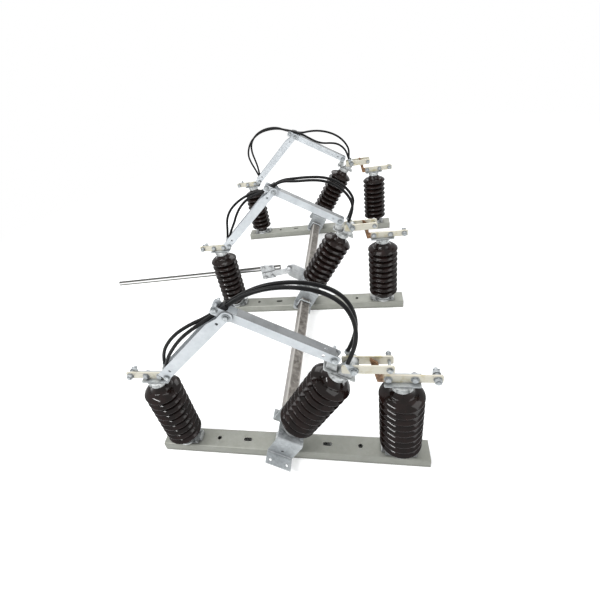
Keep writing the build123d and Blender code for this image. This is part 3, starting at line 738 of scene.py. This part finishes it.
# ---- jumper cables ----------------------------------------------------------
@dataclass
class JumperCable:
    """One flexible connection: a stiff cable that bends where a joint folds.

    sides is the points round it, steps those from one control point to the
    next.
    """

    name: str
    route: list[Point]
    bodies: tuple[str, str]
    bend_from: Point
    bend_to: Point
    length: float
    diameter: float = 0.015
    sides: int = 20
    steps: int = 14

    def centre_line(self) -> np.ndarray:
        """Points along the smooth spline that has the route as control points.

        Returns:
            Points read from a quadratic NURBS spline, one row each.
        """
        curve = bpy.data.curves.new(self.name + "_line", "CURVE")
        curve.dimensions = "3D"
        spline = curve.splines.new("NURBS")
        spline.points.add(len(self.route) - 1)
        for control, place in zip(spline.points, self.route):
            control.co = (*place, 1.0)
        spline.order_u = 3
        spline.use_endpoint_u = True
        curve.resolution_u = self.steps
        holder = bpy.data.objects.new(self.name + "_line", curve)
        line = bpy.data.meshes.new_from_object(holder)
        points = np.empty(len(line.vertices) * 3)
        line.vertices.foreach_get("co", points)
        bpy.data.objects.remove(holder)
        bpy.data.curves.remove(curve)
        bpy.data.meshes.remove(line)
        return points.reshape(-1, 3)

    def build(self) -> bpy.types.Object:
        """Make the tube.

        Returns:
            The cable's object.
        """
        path = self.centre_line()
        radius = np.full(len(path), self.diameter / 2.0)
        points, faces = sweep(path, radius, self.sides)
        obj = make_object(self.name, points, faces, Surface.JACKET)
        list(self.bodies)
        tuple(self.bend_from)
        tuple(self.bend_to)
        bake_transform(obj)
        return obj


@dataclass
class PoleCables:
    """The four jumper cables of one pole.

    Each route is the cable's own: the straight run that leaves the grip, the
    length, then the corners (x, z), all in metres. The rear and the front
    cable of a pair lie at opposite sides of the pole's middle plane, beside it
    in the grip, and spread by a little more towards their lugs.

    A bend gives two places, (x, z), handed to each cable: the first from the
    grip's middle, the second its own.
    """

    pole: str
    grip_middle: Pair
    grip_slope: float
    routes: dict[str, tuple[float, float, list[Pair]]]
    grip_half: float = 0.018
    beside: float = 0.008
    head_spread: float = 0.022
    line_spread: float = 0.004
    head_bend: tuple[Pair, Pair] = ((0.05, 0.0), (0.33, 0.66))
    line_bend: tuple[Pair, Pair] = ((-0.07, -0.03), (-0.43, 0.6))

    def control_points(self, name: str) -> list[Point]:
        """Control points of one cable's spline.

        The first two lie on the grip's axis, at its end and one run further
        out. The distance from the pole's middle plane is the same at both, and
        then grows evenly to the last.

        Args:
            name: "head rear", "head front", "line rear" or "line front".

        Returns:
            The points, from the grip to the lug.
        """
        run, _, corners = self.routes[name]
        end = 1.0 if name.startswith("head") else -1.0
        side = 1.0 if name.endswith("rear") else -1.0
        slope = math.radians(self.grip_slope)
        gx, gz = self.grip_middle
        start = [
            (gx + end * math.cos(slope) * s, gz + end * math.sin(slope) * s)
            for s in (self.grip_half, self.grip_half + run)
        ]
        flat = start + corners
        spread = self.head_spread if end > 0 else self.line_spread
        last = len(flat) - 1
        away = [self.beside + spread * max(0, i - 1) / (last - 1) for i in range(last + 1)]
        return [(x, POLE_Y[self.pole] + side * a, z) for (x, z), a in zip(flat, away)]

    def build(self) -> list[bpy.types.Object]:
        """Make the four cables, and let them stand for the CAD's plain tubes.

        Returns:
            The cables' objects.
        """
        y = POLE_Y[self.pole]
        gx, gz = self.grip_middle
        ends = {
            "head": ((f"{self.pole}_upper_arm_body", "tilting_shaft"), self.head_bend),
            "line": ((f"{self.pole}_lower_arm_body", "base"), self.line_bend),
        }
        made = []
        for name, (_, length, _) in self.routes.items():
            kind, word = name.split()
            bodies, ((from_x, from_z), (to_x, to_z)) = ends[kind]
            bend_from, bend_to = (gx + from_x, y, gz + from_z), (to_x, y, to_z)
            made.append(JumperCable(
                f"{self.pole}_{kind}_cable_{word}", self.control_points(name),
                bodies, bend_from, bend_to, length,
            ).build())
            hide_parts(f"{self.pole}_{kind}_cables")
        return made


FRONT_HEAD: list[Pair] = [
    (0.070, 0.966), (0.168, 0.971), (0.256, 0.950), (0.320, 0.902), (0.351, 0.832),
    (0.356, 0.757), (0.341, 0.688), (0.319, 0.634),
]
FRONT_CABLES = PoleCables("front", (-0.086, 0.889), 33.0, {
    "head rear": (0.064, 0.702, FRONT_HEAD),
    "head front": (0.064, 0.702, FRONT_HEAD),
    "line rear": (0.078, 0.467, [
        (-0.250, 0.801), (-0.330, 0.752), (-0.393, 0.690), (-0.428, 0.632), (-0.441, 0.584),
    ]),
    "line front": (0.072, 0.446, [
        (-0.232, 0.797), (-0.300, 0.748), (-0.358, 0.688), (-0.401, 0.632), (-0.424, 0.583),
    ]),
})
MIDDLE_CABLES = PoleCables("middle", (-0.086, 0.889), 25.0, {
    "head rear": (0.042, 0.616, [
        (0.045, 0.913), (0.122, 0.910), (0.198, 0.899), (0.262, 0.871), (0.312, 0.828),
        (0.345, 0.775), (0.354, 0.735), (0.341, 0.688), (0.319, 0.634),
    ]),
    "head front": (0.042, 0.604, [
        (0.048, 0.903), (0.124, 0.902), (0.196, 0.892), (0.256, 0.866), (0.304, 0.825),
        (0.336, 0.775), (0.348, 0.735), (0.341, 0.688), (0.319, 0.634),
    ]),
    "line rear": (0.038, 0.498, [
        (-0.195, 0.862), (-0.258, 0.844), (-0.322, 0.811), (-0.378, 0.764), (-0.413, 0.706),
        (-0.428, 0.632), (-0.441, 0.584),
    ]),
    "line front": (0.038, 0.462, [
        (-0.190, 0.856), (-0.243, 0.834), (-0.292, 0.798), (-0.334, 0.746), (-0.364, 0.688),
        (-0.401, 0.632), (-0.424, 0.583),
    ]),
})
REAR_CABLES = PoleCables("rear", (-0.084, 0.893), -20.0, {
    "head rear": (0.038, 0.527, [
        (0.038, 0.878), (0.108, 0.870), (0.176, 0.848), (0.235, 0.815), (0.281, 0.772),
        (0.312, 0.722), (0.325, 0.678), (0.319, 0.634),
    ]),
    "head front": (0.040, 0.493, [
        (0.028, 0.832), (0.084, 0.795), (0.136, 0.778), (0.190, 0.774), (0.240, 0.762),
        (0.279, 0.732), (0.307, 0.690), (0.319, 0.634),
    ]),
    "line rear": (0.046, 0.668, [
        (-0.215, 0.936), (-0.290, 0.938), (-0.362, 0.924), (-0.426, 0.886), (-0.472, 0.828),
        (-0.494, 0.758), (-0.480, 0.694), (-0.458, 0.637), (-0.441, 0.584),
    ]),
    "line front": (0.050, 0.658, [
        (-0.212, 0.948), (-0.284, 0.952), (-0.350, 0.938), (-0.408, 0.902), (-0.444, 0.850),
        (-0.450, 0.786), (-0.436, 0.720), (-0.424, 0.652), (-0.424, 0.583),
    ]),
})


# ---- porcelain --------------------------------------------------------------
def arc_through(first: Pair, middle: Pair, last: Pair, count: int) -> np.ndarray:
    """Points of the circular arc through three points.

    The centre c is where the two perpendicular bisectors meet, which is the
    solution of 2 (middle - first) . c = |middle|^2 - |first|^2 and the same
    with last; the angle about c then runs evenly from first to last, the way
    round that passes middle.

    Args:
        first: Where the arc starts.
        middle: A point on it.
        last: Where it ends.
        count: How many points, both ends among them.

    Returns:
        One row (radius, height) for each point.
    """
    p, q, r = (np.array(v, float) for v in (first, middle, last))
    sides = 2.0 * np.array([q - p, r - p])
    centre = np.linalg.solve(sides, np.array([q @ q - p @ p, r @ r - p @ p]))
    angle = np.unwrap([math.atan2(v[1], v[0]) for v in (p - centre, q - centre, r - centre)])
    turns = np.linspace(angle[0], angle[2], count)
    size = float(np.linalg.norm(p - centre))
    return centre + size * np.stack([np.cos(turns), np.sin(turns)], axis=-1)


@dataclass
class PostInsulator:
    """Turned porcelain post with nine sheds, as smooth as its glaze.

    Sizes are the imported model's own, in metres, with heights from the foot's
    underside. A shed's own points are (out, up) from its height: rim from
    shed_radius, bulge from halfway between shed_radius and the core, and
    shoulder_foot from the core.
    """

    shed_radius: float = 0.085
    core: float = 0.046
    sheds: int = 9
    first: float = 0.068
    last: float = 0.375
    bottom: float = 0.022
    top: float = 0.423
    cap_radius: float = 0.037
    foot_step: float = 0.006
    neck_step: float = 0.005
    neck_height: float = 0.004
    shed_below: float = 0.010
    shed_above: float = 0.024
    rim: tuple[Pair, Pair, Pair] = ((-0.003, -0.005), (0.0, -0.0014), (-0.002, 0.002))
    bulge: Pair = (0.003, 0.0135)
    shoulder_foot: Pair = (0.004, 0.020)
    rim_points: int = 7
    shoulder_points: int = 10
    around: int = 96
    crease: float = 50.0

    def profile(self) -> np.ndarray:
        """The half section, from the foot up.

        Each shed is a flat underside that drops outwards, a small rim arc, a
        large arc up its shoulder and a short cone on to the core.

        Returns:
            One row (radius, height) for each point, both ends on the axis.
        """
        def beside(radius: float, z: float, out_and_up: Pair) -> Pair:
            """A shed's own point, (out, up) from a radius and its height."""
            return (radius + out_and_up[0], z + out_and_up[1])

        halfway = (self.shed_radius + self.core) / 2.0
        foot, neck = self.core - self.foot_step, self.cap_radius - self.neck_step
        parts = [np.array([(0.0, self.bottom), (foot, self.bottom)])]
        for z in np.linspace(self.first, self.last, self.sheds):
            low, tip, high = (beside(self.shed_radius, z, place) for place in self.rim)
            bulge = beside(halfway, z, self.bulge)
            end = beside(self.core, z, self.shoulder_foot)
            parts.append(np.array([(self.core, z - self.shed_below)]))
            parts.append(arc_through(low, tip, high, self.rim_points))
            parts.append(arc_through(high, bulge, end, self.shoulder_points)[1:])
            parts.append(np.array([(self.core, z + self.shed_above)]))
        shoulder = self.top - self.neck_height
        parts.append(np.array([(neck, shoulder), (neck, self.top), (0.0, self.top)]))
        return np.concatenate(parts)

    def surface(self) -> tuple[np.ndarray, list[list[int]]]:
        """Turn the profile about the upright axis.

        Point (i, j) is (r_i cos a_j, r_i sin a_j, z_i), with a_j going evenly
        once round; each end is one point on the axis, joined by triangles.

        Returns:
            The points and the faces.
        """
        section = self.profile()
        turn = np.linspace(0.0, 2.0 * np.pi, self.around, endpoint=False)
        r, z = section[1:-1, 0], section[1:-1, 1]
        heights = np.repeat(z[:, None], self.around, 1)
        rings = np.stack([np.outer(r, np.cos(turn)), np.outer(r, np.sin(turn)), heights], -1)
        rings = rings.reshape(-1, 3)
        points = np.concatenate([rings, [(0.0, 0.0, section[0, 1]), (0.0, 0.0, section[-1, 1])]])
        faces = grid_faces(len(r), self.around).tolist()
        k = np.arange(self.around)
        after = (k + 1) % self.around
        under = np.stack([after, k, np.full(self.around, len(rings))], -1)
        top_ring = (len(r) - 1) * self.around
        over = np.stack([top_ring + k, top_ring + after, np.full(self.around, len(rings) + 1)], -1)
        return points, faces + under.tolist() + over.tolist()

    def build(self, name: str, place: Matrix, node: str, body: str) -> bpy.types.Object:
        """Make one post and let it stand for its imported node.

        Args:
            name: The object's name.
            place: Turns and moves the upright post to its place.
            node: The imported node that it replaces.
            body: The body that it moves with.

        Returns:
            The post's object.
        """
        points, faces = self.surface()
        turned = points @ np.array(place.to_3x3()).T + np.array(place.translation)
        obj = make_object(name, turned, faces, Surface.PORCELAIN)
        obj.data.set_sharp_from_angle(angle=math.radians(self.crease))
        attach(obj, body)
        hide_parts(node)
        return obj


@dataclass
class Porcelain:
    """All nine posts: two fixed and one tilting on each pole."""

    post: PostInsulator = field(default_factory=PostInsulator)
    post_x: float = 0.506
    deck: float = 0.050
    seat: float = 0.088
    lean: float = 32.0

    def build(self) -> list[bpy.types.Object]:
        """Make the nine posts.

        Returns:
            The posts' objects.
        """
        made = []
        lean = Matrix.Rotation(math.radians(self.lean), 4, "Y")
        for pole, y in POLE_Y.items():
            for word, x in (("line", -self.post_x), ("load", self.post_x)):
                place = Matrix.Translation((x, y, self.deck))
                name = f"{pole}_{word}_post"
                made.append(self.post.build(name, place, "fixed_insulators", "base"))
            place = Matrix.Translation((0.0, y, AXIS_HEIGHT)) @ lean
            place = place @ Matrix.Translation((0.0, 0.0, self.seat))
            name = f"{pole}_tilting_post"
            made.append(self.post.build(name, place, "tilting_insulators", "tilting_shaft"))
        return made


# ---- carried-over CAD nodes -------------------------------------------------
@dataclass
class MetalAndRubber:
    """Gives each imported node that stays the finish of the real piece."""

    nodes: dict[str, bpy.types.Object]
    table: dict[str, Surface] = field(default_factory=lambda: {
        "base_channels": Surface.CHANNEL,
        "bearings": Surface.CASTING,
        "fixed_insulator_fittings": Surface.CASTING,
        "terminal_bars": Surface.FIXED_BARS,
        "terminal_brackets": Surface.STEEL,
        "tilt_brackets": Surface.STEEL,
        "tilting_insulator_fittings": Surface.CASTING,
        "contact_heads": Surface.CASTING,
        "moving_contacts": Surface.BLADES,
        "contact_bolts": Surface.FASTENER,
        "torque_tubes": Surface.TUBE,
        "tube_clamps": Surface.FASTENER,
        "crank_lever": Surface.DRIVE,
        "drive_rod": Surface.PIPE,
        "rod_clamp": Surface.DRIVE,
        "upper_arm": Surface.ARM,
        "lower_arm": Surface.ARM,
        "upper_arm_bolts": Surface.FASTENER,
        "lower_arm_bolts": Surface.FASTENER,
        "cable_grip": Surface.GRIP,
    })

    def surface_of(self, name: str) -> Surface | None:
        """The finish of a node, going by its name without the pole's."""
        return self.table.get(name) or self.table.get(name.split("_", 1)[-1])

    def dress(self) -> int:
        """Put each finish in its node's material slots.

        Returns:
            How many nodes were dressed.
        """
        count = 0
        for name, obj in self.nodes.items():
            surface = self.surface_of(name)
            if surface is None:
                continue
            for slot in obj.material_slots:
                slot.material = surface.material()
            count += 1
        return count


# ---- studio -----------------------------------------------------------------
@dataclass(frozen=True)
class Lamp:
    """An area lamp, as wide and high as size says, that faces its aim."""

    name: str
    place: Point
    aim: Point
    size: Pair
    power: float

    def build(self) -> None:
        """Hang the lamp."""
        data = bpy.data.lights.new(self.name, "AREA")
        data.shape, data.energy = "RECTANGLE", self.power
        data.size, data.size_y = self.size
        obj = bpy.data.objects.new(self.name, data)
        away = Vector(self.aim) - Vector(self.place)
        turn = away.to_track_quat("-Z", "Y").to_matrix().to_4x4()
        obj.matrix_world = Matrix.Translation(self.place) @ turn
        bpy.context.scene.collection.objects.link(obj)


@dataclass
class Studio:
    """Pale floor, soft lamps and the camera.

    floor_glow is how strongly the floor shines to the camera and to mirrors.
    It fades to plain white between the distances of floor_fade. The floor has
    no glow under a channel, within channel_half of its middle along x and y,
    and channels_end_y lies just beyond the outer poles.
    """

    eye: Point = (0.3877, -1.9984, 1.6674)
    yaw: float = -18.35
    pitch: float = 35.45
    roll: float = -13.73
    lens: float = 22.45
    shift: Pair = (0.0587, -0.0195)
    sensor: float = 36.0
    clip: Pair = (0.05, 100.0)
    floor_size: float = 60.0
    floor_drop: float = 0.0005
    floor_glow: float = 0.27
    floor_fade: Pair = (1.6, 4.5)
    channel_half: Pair = (0.62, 0.048)
    channels_end_y: float = 1.11
    sky: float = 0.85
    lamps: tuple[Lamp, ...] = (
        Lamp("key", (-2.2, -2.6, 3.4), (0.0, 0.0, 0.4), (2.6, 0.3), 100.0),
        Lamp("fill", (3.0, -1.4, 2.6), (0.0, 0.0, 0.4), (2.0, 2.0), 40.0),
        Lamp("rim", (0.4, 3.2, 3.0), (0.0, 0.0, 0.5), (2.4, 2.4), 60.0),
        Lamp("rear_wash", (-0.4, -0.5, 2.7), (-0.1, 1.0, 0.7), (1.2, 1.2), 22.0),
    )

    def camera(self) -> None:
        """Place the camera by its eye point and three angles."""
        ya, pi, ro = (math.radians(a) for a in (self.yaw, self.pitch, self.roll))
        level = math.cos(pi)
        forward = Vector((math.sin(ya) * level, math.cos(ya) * level, -math.sin(pi)))
        right = Vector((math.cos(ya), -math.sin(ya), 0.0))
        up = right.cross(forward)
        level_right = math.cos(ro) * right + math.sin(ro) * up
        level_up = -math.sin(ro) * right + math.cos(ro) * up
        data = bpy.data.cameras.new("camera")
        data.lens, data.sensor_width = self.lens, self.sensor
        data.clip_start, data.clip_end = self.clip
        data.shift_x, data.shift_y = self.shift
        obj = bpy.data.objects.new("camera", data)
        turn = Matrix((level_right, level_up, -forward)).transposed().to_4x4()
        obj.matrix_world = Matrix.Translation(self.eye) @ turn
        bpy.context.scene.collection.objects.link(obj)
        bpy.context.scene.camera = obj

    @staticmethod
    def shown_rays(tree: bpy.types.NodeTree) -> bpy.types.NodeSocket:
        """Tell the rays that show a surface from those that light one.

        Args:
            tree: The node tree.

        Returns:
            1 for a ray from the camera, a mirror or a glass, 0 for light.
        """
        rays = add(tree, "LightPath").outputs
        glass = maths(tree, "MAXIMUM", rays["Is Glossy Ray"], rays["Is Transmission Ray"])
        return maths(tree, "MAXIMUM", rays["Is Camera Ray"], glass)

    def world(self) -> None:
        """White to the camera and to reflections, plain soft light elsewhere."""
        world = bpy.data.worlds.new("soft_sky")
        world.use_nodes = True
        tree = world.node_tree
        tree.nodes.clear()
        light = add(tree, "Background", {"Color": linear("f2f5f8"), "Strength": self.sky})
        white = add(tree, "Background", {"Color": WHITE, "Strength": 1.0})
        seen = self.shown_rays(tree)
        mix = add(tree, "MixShader", {0: seen, 1: light.outputs[0], 2: white.outputs[0]})
        add(tree, "OutputWorld", {"Surface": mix.outputs[0]})
        bpy.context.scene.world = world

    def beside_channels(self, tree: bpy.types.NodeTree) -> bpy.types.NodeSocket:
        """Find the floor under the base channels, where no light gets.

        A triangle wave of y gives the distance to the nearest pole.

        Args:
            tree: The floor's node tree.

        Returns:
            0 under a channel, 1 beside it.
        """
        x, y, _ = split(tree, add(tree, "TexCoord").outputs["Object"])
        spacing = POLE_Y["rear"] - POLE_Y["middle"]
        from_pole = maths(tree, "PINGPONG", y, spacing / 2.0)
        half_length, half_width = self.channel_half
        beside = maths(tree, "LESS_THAN", from_pole, half_width)
        along = maths(tree, "LESS_THAN", maths(tree, "ABSOLUTE", x), half_length)
        among = maths(tree, "LESS_THAN", maths(tree, "ABSOLUTE", y), self.channels_end_y)
        under = maths(tree, "MULTIPLY", maths(tree, "MULTIPLY", beside, along), among)
        return maths(tree, "SUBTRACT", 1.0, under)

    def floor(self) -> None:
        """A pale floor far wider than the object, just under it."""
        half, z = self.floor_size / 2.0, -self.floor_drop
        mesh = bpy.data.meshes.new("floor")
        mesh.from_pydata(
            [(-half, -half, z), (half, -half, z), (half, half, z), (-half, half, z)],
            [], [(0, 1, 2, 3)],
        )
        material = bpy.data.materials.new("Pale studio floor")
        material.use_nodes = True
        tree = material.node_tree
        tree.nodes.clear()
        matt = add(tree, "BsdfDiffuse", {"Color": linear("f3f3f2")})
        seen = self.shown_rays(tree)
        glow = maths(tree, "MULTIPLY", self.beside_channels(tree), self.floor_glow)
        glow = maths(tree, "MULTIPLY", seen, glow)
        shine = add(tree, "Emission", {"Color": WHITE, "Strength": glow})
        near = add(tree, "AddShader", {0: matt.outputs[0], 1: shine.outputs[0]})
        place = add(tree, "TexCoord").outputs["Object"]
        reach = vector_maths(tree, "LENGTH", place)
        far = maths(tree, "MULTIPLY", between(tree, reach, *self.floor_fade), seen)
        white = add(tree, "Emission", {"Color": WHITE, "Strength": 1.0})
        whole = add(tree, "MixShader", {0: far, 1: near.outputs[0], 2: white.outputs[0]})
        add(tree, "OutputMaterial", {"Surface": whole.outputs[0]})
        mesh.materials.append(material)
        obj = bpy.data.objects.new("floor", mesh)
        bpy.context.scene.collection.objects.link(obj)
        obj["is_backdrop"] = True

    def build(self) -> None:
        """Set up the view, the floor, the sky and the lamps."""
        bpy.context.scene.view_settings.view_transform = "Standard"
        self.camera()
        self.world()
        self.floor()
        for lamp in self.lamps:
            lamp.build()


def write_sizes(cad: Any) -> None:
    plain = [[[float(c) for c in corner] for corner in box] for box in (cad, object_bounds())]


def main() -> None:
    """Build the scene in order and report each step."""
    logging.basicConfig(level=logging.INFO, format="%(name)s: %(message)s")
    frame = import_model()
    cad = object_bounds()
    Studio().build()
    log.info("studio ready")
    for pole_cables in (FRONT_CABLES, MIDDLE_CABLES, REAR_CABLES):
        for cable in pole_cables.build():
            log.info("cable %s", cable.name)
    for post in Porcelain().build():
        log.info("porcelain %s", post.name)
    log.info("dressed %d nodes", MetalAndRubber(frame["nodes"]).dress())
    write_sizes(cad)


if __name__ == "__main__":
    main()
